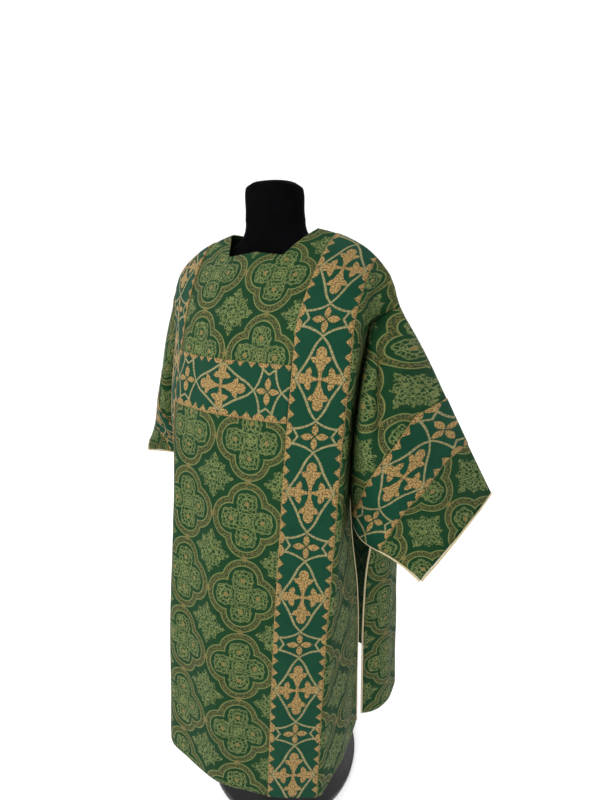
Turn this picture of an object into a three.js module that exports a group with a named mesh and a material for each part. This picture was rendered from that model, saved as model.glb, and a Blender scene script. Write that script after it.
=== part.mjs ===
// A dalmatic of green brocade with broad woven bands, worn on a plain dress form.
// Units are millimetres. +Z is up, the front of the garment faces -Y and its left side is +X.
// The origin is the middle of the stand's foot, on the floor.
import * as THREE from 'three';

// ---------------------------------------------------------------- driving sizes
const TOP = 1500;            // height from which every drop is measured
const HEM_DROP = 1225;       // the hem hangs this far below TOP
const CLOTH = 1.6;           // thickness of the brocade
const TRIM = 1.2;            // thickness of the woven bands
const SEAM = 0.45;           // gap left between two pieces that are sewn together
const LIFT = 0.35;           // gap between a band and the cloth that it lies on
const PIPING_START = 0.08;   // share of the first step below the armhole without piping
const PIPE_GAP = 1.2;        // gap between a cloth's edge and its piping
const PIPE = 2.8;            // width of the square cord that edges the open sides
const BAND = 105;            // width of the woven bands
const BAND_IN = 150;         // inner edge of an upright band from the middle of the panel
const BAND_OUT = BAND_IN + BAND;
const CHEST = 104;           // width of the flatter middle, from its centre line
const FOLD = 16;             // width of the sharp fold that runs down beside a band
const CROSS_DROP = 301;      // upper edge of the cross band on the chest
const CHEST_DROP = 240;      // level where the sloping shoulders end
const UNDERARM_DROP = 590;   // level where the armhole ends and the open side begins
const MIDDLE_Y = 10;         // every depth is measured from this far behind the origin

// ---------------------------------------------------------------- small helpers
const rad = THREE.MathUtils.degToRad;
const mix = THREE.MathUtils.lerp;
const vec = (x, y, z) => new THREE.Vector3(x, y, z);

// Value of a table's column at a level: a smooth curve through its rows.
function column(rows, key, name, at) {
  const last = rows.length - 1;
  if (at <= rows[0][key]) return rows[0][name];
  if (at >= rows[last][key]) return rows[last][name];
  const i = rows.findIndex((row) => row[key] > at) - 1;
  const slope = (j) => {
    const a = rows[Math.max(j - 1, 0)];
    const b = rows[Math.min(j + 1, last)];
    return (b[name] - a[name]) / (b[key] - a[key]);
  };
  const [p, q] = [rows[i], rows[i + 1]];
  const step = q[key] - p[key];
  const k = (at - p[key]) / step;
  const [k2, k3] = [k * k, k * k * k];
  return p[name] * (2 * k3 - 3 * k2 + 1) + q[name] * (3 * k2 - 2 * k3)
    + step * (slope(i) * (k3 - 2 * k2 + k) + slope(i + 1) * (k3 - k2));
}

// ---------------------------------------------------------------- the worn shape
// A panel's level cuts. depth is how far its middle stands out from the shoulder line, half is
// its half width, and each turn is the cloth's direction in plan, in degrees back from straight
// across: at the inner and outer edge of the band, beyond it, and at the side edge.
const FRONT_LEFT = [
  { drop: 240, depth: 180, chest: 1, inner: 2, outer: 36, beyond: 100, side: 104, half: 372 },
  { drop: 440, depth: 232, chest: 10, inner: 17, outer: 30, beyond: 104, side: 112, half: 388 },
  { drop: 640, depth: 261, chest: 10, inner: 17, outer: 26, beyond: 102, side: 110, half: 404 },
  { drop: 840, depth: 293, chest: 15, inner: 24, outer: 27, beyond: 92, side: 100, half: 430 },
  { drop: 1225, depth: 330, chest: 16, inner: 26, outer: 30, beyond: 84, side: 98, half: 460 },
];
const FRONT_RIGHT = [
  { drop: 240, depth: 180, chest: 18, inner: 26, outer: 44, beyond: 74, side: 86, half: 306 },
  { drop: 440, depth: 232, chest: 17, inner: 30, outer: 54, beyond: 64, side: 94, half: 346 },
  { drop: 640, depth: 261, chest: 15, inner: 48, outer: 60, beyond: 46, side: 96, half: 384 },
  { drop: 840, depth: 293, chest: 12, inner: 54, outer: 62, beyond: 40, side: 94, half: 424 },
  { drop: 1225, depth: 330, chest: 10, inner: 52, outer: 62, beyond: 36, side: 94, half: 462 },
];
const BACK_LEFT = [
  { drop: 240, depth: 128, chest: 6, inner: 10, outer: 34, beyond: 74, side: 88, half: 322 },
  { drop: 440, depth: 152, chest: 8, inner: 12, outer: 32, beyond: 70, side: 92, half: 350 },
  { drop: 640, depth: 162, chest: 8, inner: 12, outer: 27, beyond: 54, side: 124, half: 396 },
  { drop: 840, depth: 176, chest: 5, inner: 8, outer: 24, beyond: 50, side: 144, half: 440 },
  { drop: 1225, depth: 200, chest: 5, inner: 8, outer: 22, beyond: 46, side: 144, half: 472 },
];
const BACK_RIGHT = [
  { drop: 240, depth: 128, chest: 5, inner: 8, outer: 36, beyond: 74, side: 88, half: 322 },
  { drop: 440, depth: 152, chest: 5, inner: 8, outer: 34, beyond: 72, side: 92, half: 350 },
  { drop: 640, depth: 162, chest: 9, inner: 14, outer: 30, beyond: 58, side: 110, half: 370 },
  { drop: 840, depth: 176, chest: 9, inner: 14, outer: 28, beyond: 52, side: 116, half: 394 },
  { drop: 1225, depth: 200, chest: 6, inner: 10, outer: 26, beyond: 46, side: 116, half: 420 },
];

// The shoulder line on each side: how far out, down and back it is, by the length of cloth
// from the middle. Its last row is the top of the armhole. The garment sits a little twisted.
const CREST = {
  1: [
    { cloth: 0, out: 0, drop: 34, back: 10 },
    { cloth: 98, out: 98, drop: 52, back: 10 },
    { cloth: 160, out: 158, drop: 70, back: 10 },
    { cloth: 222, out: 214, drop: 100, back: 10 },
    { cloth: 290, out: 258, drop: 148, back: 10 },
    { cloth: 355, out: 282, drop: 204, back: 10 },
  ],
  '-1': [
    { cloth: 0, out: 0, drop: 34, back: 10 },
    { cloth: 98, out: 98, drop: 52, back: 8 },
    { cloth: 160, out: 159, drop: 70, back: 2 },
    { cloth: 222, out: 216, drop: 97, back: -6 },
    { cloth: 290, out: 268, drop: 140, back: -12 },
    { cloth: 365, out: 300, drop: 204, back: -15 },
  ],
};

// The neck's cut in each panel: flat across the bottom, then slanting up to the shoulder.
const NECK = { flat: 66, top: 104, front: 0.39, back: 0.38 };

// Direction of the cloth in plan at a distance from the middle.
function turnAt(row, from) {
  const mid = BAND_OUT + FOLD;
  if (from < CHEST) return mix(0, row.chest, from / CHEST);
  if (from < BAND_IN) return mix(row.chest, row.inner, (from - CHEST) / (BAND_IN - CHEST));
  if (from < BAND_OUT) return mix(row.inner, row.outer, (from - BAND_IN) / BAND);
  if (from < mid) return mix(row.outer, row.beyond, (from - BAND_OUT) / (mid - BAND_OUT));
  return mix(row.beyond, row.side, (from - mid) / Math.max(row.half - mid, 1));
}

// A side of the garment: face is -1 for the front and 1 for the back, hand is 1 for the left.
class Quarter {
  constructor(side, hand) {
    Object.assign(this, side);
    this.hand = hand;
    this.rows = side[hand];
  }

  row(drop) {
    const names = ['depth', 'chest', 'inner', 'outer', 'beyond', 'side', 'half'];
    return Object.fromEntries(names.map((name) => [name, column(this.rows, 'drop', name, drop)]));
  }

  half(drop) {
    return column(this.rows, 'drop', 'half', drop);
  }

  // A point of the level cut, at a length of cloth from the middle.
  level(cloth, drop) {
    const row = this.row(drop);
    const steps = Math.max(1, Math.ceil(cloth / 12));
    let out = 0;
    let back = 0;
    for (let i = 0; i < steps; i += 1) {
      const turn = rad(turnAt(row, (i + 0.5) * cloth / steps));
      out += Math.cos(turn) * cloth / steps;
      back += Math.sin(turn) * cloth / steps;
    }
    return vec(this.hand * out, MIDDLE_Y + this.face * (row.depth - back), TOP - drop);
  }

  crest(share) {
    const rows = CREST[this.hand];
    const cloth = share * rows.at(-1).cloth;
    const [out, back, drop] = ['out', 'back', 'drop'].map((name) => column(rows, 'cloth', name, cloth));
    return vec(this.hand * out, back, TOP - drop);
  }

  // A point of the sloping shoulder, from the shoulder line (0) to the chest (1).
  shoulder(cloth, down) {
    const half = this.half(CHEST_DROP);
    const a = this.crest(cloth / half);
    const b = this.level(cloth, CHEST_DROP);
    const angle = down * Math.PI / 2;
    const reach = mix(down, Math.sin(angle), this.round);
    const fall = mix(down, 1 - Math.cos(angle), this.round);
    return vec(mix(a.x, b.x, down), mix(a.y, b.y, reach), mix(a.z, b.z, fall));
  }

  // Where the panel begins on the shoulder, because of the neck's cut.
  neckAt(cloth) {
    if (cloth >= NECK.top) return 0;
    const k = THREE.MathUtils.clamp((NECK.top - cloth) / (NECK.top - NECK.flat), 0, 1);
    return this.neck * k;
  }
}

// round is 0 for a straight slope from the shoulder line to the chest and 1 for a round one.
const SIDES = {
  front: { 1: FRONT_LEFT, '-1': FRONT_RIGHT, face: -1, neck: NECK.front, round: 0.35 },
  back: { 1: BACK_LEFT, '-1': BACK_RIGHT, face: 1, neck: NECK.back, round: 0.8 },
};

// ---------------------------------------------------------------- closed walls
// A mesh from a list of points and a list of triangles, its faces turned outwards.
function solid(points, faces) {
  let volume = 0;
  for (const [a, b, c] of faces) {
    volume += points[a].dot(points[b].clone().cross(points[c]));
  }
  const index = volume > 0 ? faces.flat() : faces.map(([a, b, c]) => [a, c, b]).flat();
  const geometry = new THREE.BufferGeometry();
  geometry.setAttribute('position', new THREE.Float32BufferAttribute(
    points.flatMap((p) => [p.x, p.y, p.z]), 3));
  geometry.setIndex(index);
  geometry.computeVertexNormals();
  return geometry;
}

// A thin wall over a grid of points: it fills the space between two distances along the
// grid's normals, and a rim closes it all round.
function wall(points, normals, outer, inner) {
  const rows = points.length;
  const columns = points[0].length;
  const moved = (by) => points.flatMap((line, i) => line.map((p, j) => (
    p.clone().addScaledVector(normals[i][j], by))));
  const all = [...moved(outer), ...moved(inner)];
  const at = (i, j) => i * columns + j;
  const under = rows * columns;
  const faces = [];
  const quad = (a, b, c, d) => faces.push([a, b, c], [a, c, d]);
  for (let i = 0; i < rows - 1; i += 1) {
    for (let j = 0; j < columns - 1; j += 1) {
      quad(at(i, j), at(i, j + 1), at(i + 1, j + 1), at(i + 1, j));
      faces.push([under + at(i, j), under + at(i + 1, j + 1), under + at(i, j + 1)]);
      faces.push([under + at(i, j), under + at(i + 1, j), under + at(i + 1, j + 1)]);
    }
  }
  const rim = [];
  for (let j = 0; j < columns - 1; j += 1) rim.push(at(0, j));
  for (let i = 0; i < rows - 1; i += 1) rim.push(at(i, columns - 1));
  for (let j = columns - 1; j > 0; j -= 1) rim.push(at(rows - 1, j));
  for (let i = rows - 1; i > 0; i -= 1) rim.push(at(i, 0));
  rim.forEach((a, k) => {
    const b = rim[(k + 1) % rim.length];
    quad(a, under + a, under + b, b);
  });
  return solid(all, faces);
}

// A square cord beside an edge: away points out of the cloth, normal to its outer side.
function rail(edge, away, normals) {
  const beside = edge.map((p, k) => {
    const run = edge[Math.min(k + 1, edge.length - 1)].clone().sub(edge[Math.max(k - 1, 0)]);
    const out = run.cross(normals[k]).normalize();
    return out.multiplyScalar(Math.sign(out.dot(away[k])));
  });
  const near = PIPE_GAP;
  const far = PIPE_GAP + PIPE;
  const high = (PIPE - CLOTH) / 2;
  const low = high - PIPE;
  const points = edge.flatMap((p, k) => [[near, high], [far, high], [far, low], [near, low]].map(
    ([out, up]) => p.clone().addScaledVector(beside[k], out).addScaledVector(normals[k], up)));
  const faces = [[0, 1, 2], [0, 2, 3]];
  const last = points.length - 4;
  for (let k = 0; k < last; k += 4) {
    for (let i = 0; i < 4; i += 1) {
      const n = (i + 1) % 4;
      faces.push([k + i, k + 4 + i, k + 4 + n], [k + i, k + 4 + n, k + n]);
    }
  }
  faces.push([last, last + 2, last + 1], [last, last + 3, last + 2]);
  return solid(points, faces);
}

// Normals of a grid, on the side that the given test point is not on.
function gridNormals(points, inside) {
  const rows = points.length;
  const columns = points[0].length;
  return points.map((line, i) => line.map((p, j) => {
    const across = points[i][Math.min(j + 1, columns - 1)].clone()
      .sub(points[i][Math.max(j - 1, 0)]);
    const down = points[Math.min(i + 1, rows - 1)][j].clone()
      .sub(points[Math.max(i - 1, 0)][j]);
    const normal = across.cross(down).normalize();
    return normal.multiplyScalar(inside);
  }));
}

// ---------------------------------------------------------------- the front and back panels
// Stations down a panel: shares of the sloping shoulder, then drops.
const SHOULDER = [0, 0.2, 0.4, 0.6, 0.8, 1];
const DROPS = [CROSS_DROP, CROSS_DROP + BAND / 2, CROSS_DROP + BAND, 490, UNDERARM_DROP,
  670, 760, 870, 990, 1110, HEM_DROP];
const UNDERARM_ROW = SHOULDER.length + DROPS.indexOf(UNDERARM_DROP);
const CROSS_ROW = SHOULDER.length;

// Columns across half a panel: lengths of cloth up to the fold beside the band, then equal
// steps to the side edge.
const COLUMNS = [0, 33, NECK.flat, NECK.top, BAND_IN, BAND_IN + 35, BAND_IN + 70, BAND_OUT,
  BAND_OUT + FOLD / 2, BAND_OUT + FOLD];
const SIDE_STEPS = 4;
const IN_COLUMN = COLUMNS.indexOf(BAND_IN);
const OUT_COLUMN = COLUMNS.indexOf(BAND_OUT);

function clothAt(quarter, k, drop) {
  if (k < COLUMNS.length) return COLUMNS[k];
  const start = COLUMNS[COLUMNS.length - 1];
  return mix(start, quarter.half(drop), (k - COLUMNS.length + 1) / SIDE_STEPS);
}

function panelRow(side, station) {
  const half = COLUMNS.length + SIDE_STEPS;
  const line = [];
  for (let k = 1 - half; k < half; k += 1) {
    const hand = k < 0 ? -1 : 1;
    const quarter = new Quarter(side, hand);
    const drop = station < SHOULDER.length ? CHEST_DROP : DROPS[station - SHOULDER.length];
    const cloth = clothAt(quarter, Math.abs(k), drop);
    if (station < SHOULDER.length) {
      const start = quarter.neckAt(cloth);
      line.push(quarter.shoulder(cloth, mix(start, 1, SHOULDER[station])));
    } else {
      line.push(quarter.level(cloth, drop));
    }
  }
  return line;
}

// A panel's grid with its normals. Its top edge stops just short of the other panel's.
function panel(side) {
  const points = [];
  for (let i = 0; i < SHOULDER.length + DROPS.length; i += 1) points.push(panelRow(side, i));
  const normals = gridNormals(points, side.face);
  const middle = (points[0].length - 1) / 2;
  points[0].forEach((p, j) => {
    if (Math.abs(j - middle) < COLUMNS.indexOf(NECK.top)) return;
    p.y += side.face * SEAM / 2;
    normals[0][j].setY(0).normalize();
  });
  return { points, normals, middle };
}

const part = (grid, rows, columns) => (
  grid.slice(rows[0], rows[1] + 1).map((line) => line.slice(columns[0], columns[1] + 1)));

function edgeOf(side, hand, from, to) {
  const { points, normals } = side;
  const j = hand > 0 ? points[0].length - 1 : 0;
  const next = j - hand;
  const rows = [];
  for (let i = from; i <= to; i += 1) rows.push(i);
  return {
    edge: rows.map((i) => points[i][j]),
    away: rows.map((i) => points[i][j].clone().sub(points[i][next]).normalize()),
    normals: rows.map((i) => normals[i][j]),
  };
}

// ---------------------------------------------------------------- the sleeves
// Corners of the two layers of a sleeve, in the garment's frame: crest is the end of the top
// fold, and each layer has its cuff corner, how far it bellies out and how far its edge sags.
const SLEEVES = {
  left: {
    hand: 1,
    crest: { out: 482, back: 46, drop: 570 },
    front: { out: 405, back: -170, drop: 664, belly: 118, lean: 0.17, cuffBow: 26, foot: 0.35, sag: 40 },
    back: { out: 402, back: 168, drop: 694, belly: 70, lean: 0.4, cuffBow: 26, foot: 0.35, sag: 20 },
  },
  right: {
    hand: -1,
    crest: { out: 430, back: 22, drop: 572 },
    front: { out: 352, back: -92, drop: 592, belly: 68, lean: 0.05, cuffBow: 20, foot: 0.2, sag: 10 },
    back: { out: 398, back: 160, drop: 688, belly: 66, lean: 0.15, cuffBow: 26, foot: 0.35, sag: 20 },
  },
};

// The cut of a sleeve layer, measured from the cuff: its length along the top fold and along
// the armhole's end, and where the band lies.
const CUT = { top: 430, under: 240, bandNear: 115, bandFar: 115 + BAND };
const PLAIN_STEPS = 5;
const BELLY_AT = 0.24;       // share of a sleeve's length where its belly is fullest
const CUFF_COLUMNS = [CUT.bandFar, 185, 150, CUT.bandNear, 57, 0];
const BAND_COLUMNS = [PLAIN_STEPS, PLAIN_STEPS + 3];

// How far a sleeve bellies out along its length: 1 at its fullest, 0 at both ends.
function bellyAt(u) {
  const swell = (k) => (k / BELLY_AT) * Math.exp(1 - k / BELLY_AT);
  return swell(u) - u * swell(1);
}

function sleeveLayer(spec, layer, face, seam) {
  const corner = (c) => vec(spec.hand * c.out, c.back, TOP - c.drop);
  const [a, b, c, d] = [seam[0], corner(spec.crest), corner(layer), seam[seam.length - 1]];
  const lengths = seam.map((p, i) => (i ? p.distanceTo(seam[i - 1]) : 0));
  const total = lengths.reduce((sum, l) => sum + l, 0);
  let run = 0;
  return seam.map((start, i) => {
    run += lengths[i];
    const v = run / total;
    const reach = mix(CUT.top, CUT.under, v);
    const measures = [];
    for (let k = 0; k < PLAIN_STEPS; k += 1) {
      measures.push(mix(reach, CUT.bandFar, (k / PLAIN_STEPS) ** 1.4));
    }
    const belly = 0.8 * Math.sin(Math.PI * v ** 0.7) + layer.foot * v;
    const cuff = b.clone().lerp(c, v);
    cuff.y += face * layer.cuffBow * Math.sin(Math.PI * v ** 0.7);
    return [...measures, ...CUFF_COLUMNS].map((measure) => {
      const u = 1 - measure / reach;
      const point = a.clone().lerp(b, u).multiplyScalar(1 - v)
        .addScaledVector(d.clone().lerp(c, u), v)
        .addScaledVector(start, 1 - u)
        .addScaledVector(cuff, u)
        .addScaledVector(a, -(1 - u) * (1 - v))
        .addScaledVector(b, -u * (1 - v))
        .addScaledVector(c, -u * v)
        .addScaledVector(d, -(1 - u) * v);
      const swell = layer.belly * belly * bellyAt(u);
      point.y += face * swell;
      point.x += spec.hand * layer.lean * swell;
      point.z -= layer.sag * v * v * bellyAt(u);
      return point;
    });
  });
}

// A sleeve's grid: its rows run from the front layer's lower edge over the top to the back's.
function sleeve(spec, front, back) {
  const seamOf = (side) => {
    const line = edgeOf(side, spec.hand, 0, UNDERARM_ROW);
    return line.edge.map((p, i) => p.clone().addScaledVector(line.away[i], SEAM));
  };
  const [seamFront, seamBack] = [seamOf(front), seamOf(back)];
  seamFront[0].lerp(seamBack[0], 0.5);
  seamBack[0].copy(seamFront[0]);
  const rowsFront = sleeveLayer(spec, spec.front, -1, seamFront);
  const rowsBack = sleeveLayer(spec, spec.back, 1, seamBack);
  const points = [...rowsFront.reverse(), ...rowsBack.slice(1)];
  return { points, normals: gridNormals(points, spec.hand) };
}

// ---------------------------------------------------------------- the dress form
// Level cuts of the torso: half its width, and how far it reaches to the front and the back.
const TORSO = [
  { drop: -38, wide: 46, front: 42, back: 44 },
  { drop: -28, wide: 59, front: 55, back: 58 },
  { drop: 20, wide: 62, front: 54, back: 60 },
  { drop: 62, wide: 74, front: 44, back: 58 },
  { drop: 90, wide: 114, front: 42, back: 64 },
  { drop: 124, wide: 178, front: 56, back: 76 },
  { drop: 165, wide: 200, front: 84, back: 90 },
  { drop: 240, wide: 192, front: 132, back: 104 },
  { drop: 330, wide: 178, front: 150, back: 104 },
  { drop: 500, wide: 152, front: 120, back: 96 },
  { drop: 660, wide: 178, front: 122, back: 120 },
  { drop: 800, wide: 172, front: 116, back: 116 },
];
const FORM_SIDES = 28;
const FORM_SQUARE = 2.3;      // 2 is an ellipse, more is squarer
const POLE_RADIUS = 16;
const BASE_RADIUS = 210;
const BASE_HEIGHT = 22;

function torso() {
  const rings = TORSO.map((cut) => {
    const ring = [];
    for (let k = 0; k < FORM_SIDES; k += 1) {
      const angle = 2 * Math.PI * k / FORM_SIDES;
      const [cos, sin] = [Math.cos(angle), Math.sin(angle)];
      const x = cut.wide * Math.sign(cos) * Math.abs(cos) ** (2 / FORM_SQUARE);
      const reach = sin < 0 ? cut.front : cut.back;
      const y = reach * Math.sign(sin) * Math.abs(sin) ** (2 / FORM_SQUARE);
      ring.push(vec(x, y, TOP - cut.drop));
    }
    return ring;
  });
  const points = [...rings.flat(), vec(0, 0, rings[0][0].z), vec(0, 0, rings.at(-1)[0].z)];
  const [top, bottom] = [points.length - 2, points.length - 1];
  const end = (rings.length - 1) * FORM_SIDES;
  const faces = [];
  for (let k = 0; k < FORM_SIDES; k += 1) {
    const n = (k + 1) % FORM_SIDES;
    faces.push([top, k, n], [bottom, end + n, end + k]);
    for (let i = 0; i < end; i += FORM_SIDES) {
      faces.push([i + k, i + FORM_SIDES + k, i + FORM_SIDES + n], [i + k, i + FORM_SIDES + n, i + n]);
    }
  }
  return solid(points, faces);
}

function turned(profile, segments) {
  const geometry = new THREE.LatheGeometry(profile.map(([r, z]) => new THREE.Vector2(r, z)),
    segments);
  return geometry.rotateX(Math.PI / 2);
}

// ---------------------------------------------------------------- materials and assembly
const paint = (color, roughness, metalness) => (
  new THREE.MeshStandardMaterial({ color, roughness, metalness }));
const brocade = paint(0x1f5a24, 0.75, 0.1);
const woven = paint(0x0d3a22, 0.7, 0.15);
const cord = paint(0xb9a36a, 0.6, 0.3);
const black = paint(0x0b0b0c, 0.85, 0);
const iron = paint(0x151517, 0.5, 0.6);

const garment = new THREE.Group();
function add(name, geometry, material) {
  const mesh = new THREE.Mesh(geometry, material);
  mesh.name = name;
  garment.add(mesh);
}

const panels = { front: panel(SIDES.front), back: panel(SIDES.back) };
const lastRow = SHOULDER.length + DROPS.length - 1;

for (const [place, { points, normals, middle }] of Object.entries(panels)) {
  add(`${place}_panel`, wall(points, normals, 0, -CLOTH), brocade);
  for (const [hand, name] of [[1, 'left'], [-1, 'right']]) {
    const ends = [middle + hand * IN_COLUMN, middle + hand * OUT_COLUMN].sort((a, b) => a - b);
    add(`${place}_${name}_band`, wall(part(points, [0, lastRow], ends),
      part(normals, [0, lastRow], ends), LIFT + TRIM, LIFT), woven);
    const side = edgeOf(panels[place], hand, UNDERARM_ROW, lastRow);
    side.edge[0] = side.edge[0].clone().lerp(side.edge[1], PIPING_START);
    add(`${place}_${name}_piping`, rail(side.edge, side.away, side.normals), cord);
  }
  const ends = [middle - IN_COLUMN, middle + IN_COLUMN];
  const rows = [CROSS_ROW, CROSS_ROW + 2];
  const crossPoints = part(points, rows, ends).map((line) => {
    const first = line[0].clone().lerp(line[1], SEAM / line[0].distanceTo(line[1]));
    const last = line.at(-1).clone().lerp(line.at(-2), SEAM / line.at(-1).distanceTo(line.at(-2)));
    return [first, ...line.slice(1, -1), last];
  });
  add(`${place}_cross_band`, wall(crossPoints, part(normals, rows, ends), LIFT + TRIM, LIFT), woven);
}

for (const [name, spec] of Object.entries(SLEEVES)) {
  const { points, normals } = sleeve(spec, panels.front, panels.back);
  const rows = [0, points.length - 1];
  add(`${name}_sleeve`, wall(points, normals, 0, -CLOTH), brocade);
  add(`${name}_sleeve_band`, wall(part(points, rows, BAND_COLUMNS),
    part(normals, rows, BAND_COLUMNS), LIFT + TRIM, LIFT), woven);
  const cuff = points.map((line) => line.at(-1));
  const cuffAway = points.map((line) => line.at(-1).clone().sub(line.at(-2)).normalize());
  add(`${name}_cuff_piping`, rail(cuff, cuffAway, normals.map((line) => line.at(-1))), cord);
  for (const [place, i, next] of [['front', 0, 1], ['back', points.length - 1, points.length - 2]]) {
    const away = points[i].map((p, j) => p.clone().sub(points[next][j]).normalize());
    const trim = (line) => line.slice(PLAIN_STEPS - 1);
    add(`${name}_sleeve_${place}_piping`, rail(trim(points[i]), trim(away), trim(normals[i])), cord);
  }
}

const torsoBottom = TOP - TORSO.at(-1).drop;
add('form_torso', torso(), black);
add('form_pole', turned([[0, BASE_HEIGHT + SEAM], [POLE_RADIUS, BASE_HEIGHT + SEAM],
  [POLE_RADIUS, torsoBottom - SEAM], [0, torsoBottom - SEAM]], 20), iron);
add('form_base', turned([[0, 0], [BASE_RADIUS - 4, 0], [BASE_RADIUS, 4],
  [BASE_RADIUS, BASE_HEIGHT - 8], [BASE_RADIUS - 10, BASE_HEIGHT], [0, BASE_HEIGHT]], 40), iron);

export default garment;
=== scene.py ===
"""Looks of a green brocade dalmatic on a black dress form. Every length is in metres.

The cloth is worked out again, finely, from the same tables as its CAD solids: a panel is a set of
level cuts, each given by how the cloth turns along it, and a sleeve is a patch between four edges.
Creases are then pushed in or out by listed troughs and ridges in the cloth's own coordinates.
"""

import math

import bpy
import numpy as np
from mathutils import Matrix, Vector


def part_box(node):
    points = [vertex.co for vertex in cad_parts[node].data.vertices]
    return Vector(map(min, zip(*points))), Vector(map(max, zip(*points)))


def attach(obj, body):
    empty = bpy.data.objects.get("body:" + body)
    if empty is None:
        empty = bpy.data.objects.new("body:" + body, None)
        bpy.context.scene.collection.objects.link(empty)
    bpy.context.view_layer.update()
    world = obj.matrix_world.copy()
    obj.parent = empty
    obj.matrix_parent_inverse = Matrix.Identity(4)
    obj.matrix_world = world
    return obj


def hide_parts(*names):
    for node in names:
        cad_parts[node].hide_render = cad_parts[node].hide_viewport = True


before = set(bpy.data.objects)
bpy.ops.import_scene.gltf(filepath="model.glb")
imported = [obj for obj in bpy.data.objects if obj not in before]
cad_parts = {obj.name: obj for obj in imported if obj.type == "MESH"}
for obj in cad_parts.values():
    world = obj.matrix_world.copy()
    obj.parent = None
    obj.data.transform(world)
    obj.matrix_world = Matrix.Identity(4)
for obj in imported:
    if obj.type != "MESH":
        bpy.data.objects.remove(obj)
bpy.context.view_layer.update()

# ------------------------------------------------------------------ sizes, as in the CAD
TOP = 1.500                  # height from which every drop is measured
HEM_DROP = 1.225
CHEST_DROP = 0.240           # level where the sloping shoulders end
UNDERARM_DROP = 0.590
CLOTH = 0.0016
TRIM = 0.0012
LIFT = 0.00035               # gap between a band and the cloth under it
SEAM = 0.00045               # gap between two joined cloths
BAND = 0.105
BAND_IN = 0.150
BAND_OUT = BAND_IN + BAND
CHEST = 0.104                # half width of the flat of the chest
FOLD = 0.016                 # width of the strip beyond a band where the cloth turns
CROSS_DROP = 0.301
MIDDLE_Y = 0.010
STEP = 0.007                 # from one row of a panel's mesh to the next, below the chest
CUT_STEP = 0.002             # step at which a level cut's turning is summed
RIPPLE = 0.00032             # height of each small wave in the cloth
WAVES = 7
ARC_TO_DROP = 0.90           # the pattern runs a little loosely over the shoulders

PIPING_RADIUS = 0.0021
PIPING_GAP = 0.0004
PIPING_SIDES = 12
PIPING_START = 0.012         # a panel's piping starts this far below the underarm

# Level cuts of each half panel: how far the front or back stands off, the cloth's turning in degrees
# from straight across, at places between the middle and the side, and the cloth's half width.
LEVEL_COLUMNS = ("drop", "depth", "chest", "inner", "outer", "beyond", "side", "half")
FRONT_LEFT = (
    (0.240, 0.180, 1, 2, 36, 100, 104, 0.372),
    (0.440, 0.232, 10, 17, 30, 104, 112, 0.388),
    (0.640, 0.261, 10, 17, 26, 102, 110, 0.404),
    (0.840, 0.293, 15, 24, 27, 92, 100, 0.430),
    (1.225, 0.330, 16, 26, 30, 84, 98, 0.460),
)
FRONT_RIGHT = (
    (0.240, 0.180, 18, 26, 44, 74, 86, 0.306),
    (0.440, 0.232, 17, 30, 54, 64, 94, 0.346),
    (0.640, 0.261, 15, 48, 60, 46, 96, 0.384),
    (0.840, 0.293, 12, 54, 62, 40, 94, 0.424),
    (1.225, 0.330, 10, 52, 62, 36, 94, 0.462),
)
BACK_LEFT = (
    (0.240, 0.128, 6, 10, 34, 74, 88, 0.322),
    (0.440, 0.152, 8, 12, 32, 70, 92, 0.350),
    (0.640, 0.162, 8, 12, 27, 54, 124, 0.396),
    (0.840, 0.176, 5, 8, 24, 50, 144, 0.440),
    (1.225, 0.200, 5, 8, 22, 46, 144, 0.472),
)
BACK_RIGHT = (
    (0.240, 0.128, 5, 8, 36, 74, 88, 0.322),
    (0.440, 0.152, 5, 8, 34, 72, 92, 0.350),
    (0.640, 0.162, 9, 14, 30, 58, 110, 0.370),
    (0.840, 0.176, 9, 14, 28, 52, 116, 0.394),
    (1.225, 0.200, 6, 10, 26, 46, 116, 0.420),
)
# Where front and back meet along the shoulders, at lengths of cloth from the middle.
CREST_COLUMNS = ("cloth", "out", "drop", "back")
CREST = {
    1: (
        (0, 0, 0.034, 0.010), (0.098, 0.098, 0.052, 0.010), (0.160, 0.158, 0.070, 0.010),
        (0.222, 0.214, 0.100, 0.010), (0.290, 0.258, 0.148, 0.010), (0.355, 0.282, 0.204, 0.010),
    ),
    -1: (
        (0, 0, 0.034, 0.010), (0.098, 0.098, 0.052, 0.008), (0.160, 0.159, 0.070, 0.002),
        (0.222, 0.216, 0.097, -0.006), (0.290, 0.268, 0.140, -0.012), (0.365, 0.300, 0.204, -0.015),
    ),
}
NECK_FLAT = 0.066
NECK_TOP = 0.104
SIDES = {
    "front": dict(face=-1, rows={1: FRONT_LEFT, -1: FRONT_RIGHT}, neck=0.39, round=0.35, seed=5),
    "back": dict(face=1, rows={1: BACK_LEFT, -1: BACK_RIGHT}, neck=0.38, round=0.80, seed=4),
}

# Sleeves: the end of the top fold, then each layer's cuff corner, belly and sag.
SLEEVES = {
    "left": dict(
        hand=1, crest=dict(out=0.482, back=0.046, drop=0.570),
        front=dict(out=0.405, back=-0.170, drop=0.664,
                   belly=0.118, lean=0.17, bow=0.026, foot=0.35, sag=0.040),
        back=dict(out=0.402, back=0.168, drop=0.694,
                  belly=0.070, lean=0.40, bow=0.026, foot=0.35, sag=0.020)),
    "right": dict(
        hand=-1, crest=dict(out=0.430, back=0.022, drop=0.572),
        front=dict(out=0.352, back=-0.092, drop=0.592,
                   belly=0.068, lean=0.05, bow=0.020, foot=0.20, sag=0.010),
        back=dict(out=0.398, back=0.160, drop=0.688,
                  belly=0.066, lean=0.15, bow=0.026, foot=0.35, sag=0.020)),
}
SLEEVE_TOP = 0.430           # length of a sleeve along its top fold
SLEEVE_UNDER = 0.240         # and along its lower edge
SLEEVE_BAND = (0.115, 0.220)  # the band's edges, from the cuff
BELLY_AT = 0.24              # where along a sleeve its belly is fullest
SLEEVE_SEED = 20
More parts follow.
